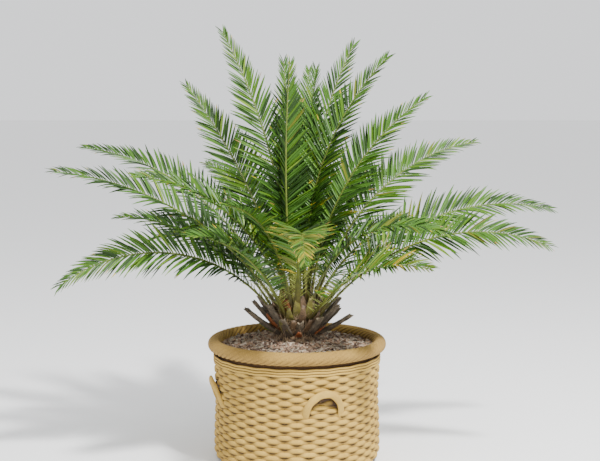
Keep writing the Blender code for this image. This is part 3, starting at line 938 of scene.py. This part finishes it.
palm = {
    "petioleShare": 0.20,
    "rollStart": 0.05,
    "rollEnd": 0.50,
    "ribWidth": (0.028, 0.012, 0.0032),
    "youngWidth": 0.019,
    "youngSeat": 45,         # fronds seated above this are young
    "ribDepth": (0.014, 0.009, 0.0032),
    "ribSteps": (8, 32),     # on the petiole and on the rest
    "ribCorners": 10,
    "ribSquare": 0.9,
    "ribTop": 0.6,
    "ribKeel": 1.1,
    "rootDepth": 0.035,
    "seed": 71,
}
leaflet = {
    "pairs": 76,
    "scatter": 0.3,          # of the distance from one pair to the next
    "length": 0.170,
    "lengthSpread": (0.86, 1.03),
    "grow": (0.50, 1.8),
    "fade": 0.76,
    "fadeStart": 0.35,
    "fadePower": 1.3,
    "sweep": (65.0, 46.0, 21.0),
    "folds": (12.0, 20.0, 30.0),
    "jitter": 3.5,
    "droopSpread": (0.4, 1.5),
    "twist": 0.28,
    "width": 0.0101,
    "widthSpread": (0.8, 1.15),
    "fullLength": 0.12,      # shorter leaflets are narrower, down to half
    "stations": (0, 0.12, 0.35, 0.6, 0.82, 1),
    "neck": (0.40, 2.4),     # width at the root, and how fast it grows
    "point": (2.4, 0.8),
    "leastHalf": 0.0004,
    "vee": 0.28,
    "thick": 0.0008,
    "goldTips": 0.05,
    "goldTipsYellow": 0.22,
    "dryShare": 0.35,        # of the gold tips
}
spine = {
    "pairs": 11,
    "span": (0.085, 0.205),
    "sweep": (45, 75),
    "fold": (0, 40),
    "length": (0.028, 0.055),
    "lengthen": 0.020,
    "halfWidth": (0.0016, 0.0011, 0.0003),
}
leafletGroups = {  # above which seat elevation, and up to which
    "upperLeaflets": (45, 91),
    "middleLeaflets": (20, 45),
    "lowerLeaflets": (-90, 20),
}
# dark is painted shade for the fronds at the left and back, turned from the lamp, and light is
# painted light for those turned to it
tones = {  # shares of leafDeep, leafMid, leafFresh, leafPale, leafOlive and leafGold
    "dark": (0.50, 0.36, 0.10, 0.03, 0.01, 0.00),
    "green": (0.28, 0.46, 0.20, 0.04, 0.02, 0.00),
    "light": (0.30, 0.42, 0.20, 0.04, 0.04, 0.00),
    "yellow": (0.08, 0.26, 0.26, 0.08, 0.29, 0.03),
}
fronds = (  # azimuth, seat elevation, rise, tip angle, length, bend, roll, droop, tone
    (155, 71, 90, 60, 1.12, 0.9, -62, 0.06, "green"),
    (150, 52, 78, 48, 1.00, 0.8, -48, 0.06, "green"),
    (165, 33, 66, 6, 1.10, 1.1, -30, 0.10, "dark"),
    (190, 32, 60, 6, 1.08, 1.0, -34, 0.10, "dark"),
    (213, 48, 74, 6, 0.90, 1.0, -30, 0.10, "light"),
    (194, 7, 60, -37, 0.98, 1.0, -50, 0.16, "green"),
    (172, 8, 64, 0, 0.80, 1.0, -20, 0.12, "dark"),
    (222, 74, 82, 96, 0.94, 1.0, 0, 0.05, "light"),
    (62, 76, 88, 74, 0.93, 1.0, 0, 0.05, "green"),
    (30, 58, 94, 60, 1.06, 1.1, 58, 0.06, "dark"),
    (355, 58, 94, 46, 1.05, 1.2, 56, 0.08, "green"),
    (8, 42, 86, 34, 0.98, 1.1, 50, 0.08, "green"),
    (24, 27, 72, 6, 1.05, 1.2, 40, 0.10, "green"),
    (8, 8, 56, -14, 1.12, 1.2, 42, 0.14, "light"),
    (347, 7, 52, -22, 1.03, 1.3, 50, 0.14, "light"),
    (312, 10, 52, -5, 0.72, 1.0, 25, 0.12, "yellow"),
    (272, 35, 74, -30, 0.92, 1.0, 0, 0.12, "yellow"),
    (232, 16, 64, 5, 0.70, 1.0, -20, 0.12, "green"),
    (332, 32, 82, -20, 0.76, 1.0, 20, 0.22, "light"),
    (45, 40, 86, -10, 0.90, 1.1, 15, 0.24, "green"),
    (112, 68, 90, 76, 0.96, 1.0, -10, 0.05, "dark"),
    (245, 42, 76, 5, 0.75, 1.0, -10, 0.10, "green"),
    (48, 9, 54, -15, 0.92, 1.1, 20, 0.12, "green"),
    (78, 9, 56, -20, 0.98, 1.0, 10, 0.12, "dark"),
    (108, 9, 54, -18, 1.00, 1.0, -10, 0.12, "green"),
    (140, 9, 54, -22, 0.88, 1.1, -20, 0.12, "green"),
    (66, 30, 70, 5, 1.00, 1.0, 10, 0.10, "green"),
    (96, 34, 74, 0, 1.00, 1.0, 0, 0.10, "dark"),
    (124, 36, 72, 8, 0.90, 1.0, -15, 0.10, "green"),
    (84, 52, 86, 45, 1.05, 1.0, 0, 0.06, "green"),
)


def frondStations(p, row, shares):
    # the limb's line with a roll that grows from rollStart to rollEnd, and the rib's two halves
    azimuth, seat, rise, tip, length, bend, roll = row[:7]
    places, headings = limbPath(azimuth, seat, rise, tip, length, bend, shares)
    rolled = roll * np.clip((shares - p["rollStart"]) / (p["rollEnd"] - p["rollStart"]), 0, 1)
    sides, uppers = limbFrames(headings, azimuth, rolled)
    petiole = p["petioleShare"]
    along = np.where(shares < petiole, 0.5 * shares / petiole,
                     0.5 + 0.5 * (shares - petiole) / (1 - petiole))
    widths = (p["youngWidth"] if seat > p["youngSeat"] else p["ribWidth"][0], *p["ribWidth"][1:])
    return places, headings, sides, uppers, mix(widths, along) / 2, mix(p["ribDepth"], along) / 2


def frondRib(p, row, bundle):
    # a rounded bar, keeled below and flatter above, from inside the trunk to the frond's tip
    petiole, corners = p["petioleShare"], p["ribCorners"]
    shares = np.concatenate([np.linspace(0, petiole, p["ribSteps"][0] + 1)[:-1],
                             np.linspace(petiole, 1, p["ribSteps"][1] + 1)])
    places, headings, sides, uppers, wide, deep = frondStations(p, row, shares)
    places = sinkRoot(places, row[0], row[1], p["rootDepth"])
    sides, uppers, wide, deep, shade = map(firstTwice, (sides, uppers, wide, deep, shares))
    across, above = roundSection(wide, deep, corners, p["ribSquare"])
    above = np.where(above > 0, above * p["ribTop"], above * p["ribKeel"])
    points, faces = sweepOne(places, sides, uppers, across, above)
    addTo(bundle, points, faces, value=np.repeat(shade, corners))


def spreadFrom(headings, sides, uppers, sign, sweep, fold):
    # a direction swept from the heading to one side, and folded up from there
    out = sides * (sign * np.cos(fold) * np.sin(sweep))[:, None]
    return out + uppers * (np.sin(fold) * np.sin(sweep))[:, None] + headings * np.cos(sweep)[:, None]


def bladeBatch(p, start, heading, ribHeading, upper, length, width, droop, twist):
    # a leaflet's line is start + length (heading s - droop s^2 z); its section is a thin open V
    s = np.array(p["stations"])[None, :, None]
    fall = np.array([0.0, 0.0, 1.0])
    line = heading[:, None] * s - droop[:, None, None] * s ** 2 * fall
    places = start[:, None] + length[:, None, None] * line
    headings = unit(np.gradient(places, axis=1))
    forward = ribHeading[:, None]
    edge = unit(forward - headings * np.sum(forward * headings, -1, keepdims=True))
    face = np.cross(headings, edge)
    c, t = np.cos(twist)[:, None, None], np.sin(twist)[:, None, None]
    edge, face = edge * c + face * t, face * c - edge * t
    sign = np.sign(np.sum(face * upper[:, None], -1))
    s = s[..., 0]
    root, growth = p["neck"]
    power, fullness = p["point"]
    outline = np.minimum(1, root + growth * s) * np.clip(1 - s ** power, 0, 1) ** fullness
    half = width[:, None] / 2 * outline + p["leastHalf"]
    rise = half * p["vee"] * 2 * sign
    thin = np.full_like(half, p["thick"] / 2)
    across = np.stack([half, 0 * half, -half, 0 * half], -1)
    above = np.stack([rise, thin, rise, -thin], -1)
    return sweepBatch(places, edge, face, across, above)


def frondLeaflets(p, row, bundle, rng):
    # pairs at even shares of the blade, a little scattered; their length grows, then fades as
    # 1 - fade x ^ fadePower from fadeStart on, and the sweep closes towards the tip
    droop, tone = row[7:]
    share = np.repeat((np.arange(p["pairs"]) + 0.5) / p["pairs"], 2)
    sign = np.tile([-1.0, 1.0], p["pairs"])
    share = share + rng.uniform(-p["scatter"], p["scatter"], len(share)) / p["pairs"]
    share = np.clip(share, 0, 0.995)
    order = np.argsort(share, kind="stable")
    share, sign = share[order], sign[order]
    along = palm["petioleShare"] + (1 - palm["petioleShare"]) * share
    places, headings, sides, uppers, wide, deep = frondStations(palm, row, along)
    count, jitter = len(share), p["jitter"]
    sweep = np.radians(mix(p["sweep"], share) + rng.uniform(-jitter, jitter, count))
    fold = np.radians(rng.choice(p["folds"], count) + rng.uniform(-jitter, jitter, count))
    out = spreadFrom(headings, sides, uppers, sign, sweep, fold)
    grow = np.minimum(1, p["grow"][0] + p["grow"][1] * share)
    past = np.clip((share - p["fadeStart"]) / (1 - p["fadeStart"]), 0, 1)
    length = p["length"] * grow * (1 - p["fade"] * past ** p["fadePower"])
    length = length * rng.uniform(*p["lengthSpread"], count)
    start = places + sides * (sign * wide * 0.6)[:, None] + uppers * (deep * 0.3)[:, None]
    width = p["width"] * rng.uniform(*p["widthSpread"], count)
    width = width * np.clip(length / p["fullLength"], 0.5, 1)
    twist = rng.normal(0, p["twist"], count)
    hang = droop * rng.uniform(*p["droopSpread"], count)
    points, faces = bladeBatch(p, start, unit(out), headings, uppers, length, width, hang, twist)
    kind = rng.choice(len(tones[tone]), count, p=tones[tone])
    paint = np.tile(kind[:, None, None], (1, len(p["stations"]) - 1, 4))
    tipRoll = rng.uniform(0, 1, count)
    yellowing = p["goldTipsYellow"] if tone == "yellow" else p["goldTips"]
    paint[tipRoll < yellowing, -1] = goldTone
    paint[tipRoll < yellowing * p["dryShare"], -1] = dryTone
    addTo(bundle, points, faces, paint=np.concatenate([paint.ravel(), np.repeat(kind, 2)]))


def frondSpines(p, row, bundle, rng):
    # stiff straight spines in place of leaflets on the upper part of the petiole
    count = p["pairs"] * 2
    low, high = p["span"]
    along = np.repeat(np.linspace(low, high, p["pairs"]), 2)
    sign = np.tile([-1.0, 1.0], p["pairs"])
    places, headings, sides, uppers, wide, deep = frondStations(palm, row, along)
    sweep = np.radians(rng.uniform(*p["sweep"], count))
    fold = np.radians(rng.uniform(*p["fold"], count))
    out = spreadFrom(headings, sides, uppers, sign, sweep, fold)
    length = rng.uniform(*p["length"], count) + p["lengthen"] * (along - low) / (high - low)
    start = places + sides * (sign * wide * 0.7)[:, None]
    s = np.linspace(0, 1, len(p["halfWidth"]))[None, :, None]
    line = start[:, None] + length[:, None, None] * out[:, None] * s
    head = np.broadcast_to(unit(out)[:, None], line.shape)
    edge = unit(np.cross(head, headings[:, None]))
    face = np.cross(head, edge)
    thick = np.broadcast_to(np.array(p["halfWidth"]), line.shape[:2])
    across, above = roundSection(thick, thick, 4)
    points, faces = sweepBatch(line, edge, face, across, above)
    addTo(bundle, points, faces)


def dressFronds(p):
    # all ribs in one piece, all spines in one, and the leaflets in three by the height of their seat
    rng = np.random.default_rng(p["seed"])
    names = [f"frond_{count:02d}" for count in range(1, len(fronds) + 1)]
    ribs, spines = newBundle(), newBundle()
    leaflets = {name: (newBundle(), []) for name in leafletGroups}
    for name, row in zip(names, fronds):
        frondRib(p, row, ribs)
        frondSpines(spine, row, spines, rng)
        group = next(key for key, (low, high) in leafletGroups.items() if low < row[1] <= high)
        frondLeaflets(leaflet, row, leaflets[group][0], rng)
        leaflets[group][1].append(name)
    makePiece("frondRibs", ribs, [ribSkin], names)
    makePiece("frondSpines", spines, [spineSkin], names)
    for name, (bundle, replaced) in leaflets.items():
        makePiece(name, bundle, leafMaterials, replaced, smooth=False)


dressFronds(palm)
print("fronds made")


# floor, light and camera

studio = {
    "floor": (0.90, 0.90, 0.895),
    "floorRough": 0.9,
    "floorReach": 60,
    "floorHeight": -0.0005,
    "world": (0.97, 0.98, 1.0),
    "worldStrength": 1.3,
    "eye": (0.012, -5.0, 1.44),
    "target": (0.012, 0.0, 0.90),
    "lens": 77.16,
    "sensor": 36,
    "lightTarget": (0, 0, 0.9),
    "lights": (  # name, place, size, power
        ("keyLight", (1.9, -2.9, 5.2), 0.5, 760),
        ("fillLight", (-3.2, -2.8, 2.2), 2.6, 20),
    ),
}


def aim(thing, place, target):
    # a light or camera looks down its own -z
    thing.location = place
    thing.rotation_euler = (Vector(target) - Vector(place)).to_track_quat("-Z", "Y").to_euler()


def makeStudio(p):
    scene = bpy.context.scene
    mesh = bpy.data.meshes.new("floor")
    far, low = p["floorReach"], p["floorHeight"]
    corners = [(-far, -far, low), (far, -far, low), (far, far, low), (-far, far, low)]
    mesh.from_pydata(corners, [], [(0, 1, 2, 3)])
    mesh.materials.append(plainMaterial("paleFloor", p["floor"], p["floorRough"]))
    floor = bpy.data.objects.new("floor", mesh)
    scene.collection.objects.link(floor)
    world = bpy.data.worlds.new("studioWorld")
    world.use_nodes = True
    background = world.node_tree.nodes["Background"]
    background.inputs["Color"].default_value = (*p["world"], 1)
    background.inputs["Strength"].default_value = p["worldStrength"]
    scene.world = world
    for name, place, size, power in p["lights"]:
        data = bpy.data.lights.new(name, "AREA")
        data.size = size
        data.energy = power
        light = bpy.data.objects.new(name, data)
        scene.collection.objects.link(light)
        aim(light, place, p["lightTarget"])
    data = bpy.data.cameras.new("photoView")
    data.sensor_fit = "HORIZONTAL"
    data.sensor_width = p["sensor"]
    data.lens = p["lens"]
    camera = bpy.data.objects.new("photoView", data)
    scene.collection.objects.link(camera)
    aim(camera, p["eye"], p["target"])
    scene.camera = camera


makeStudio(studio)
print("studio made")
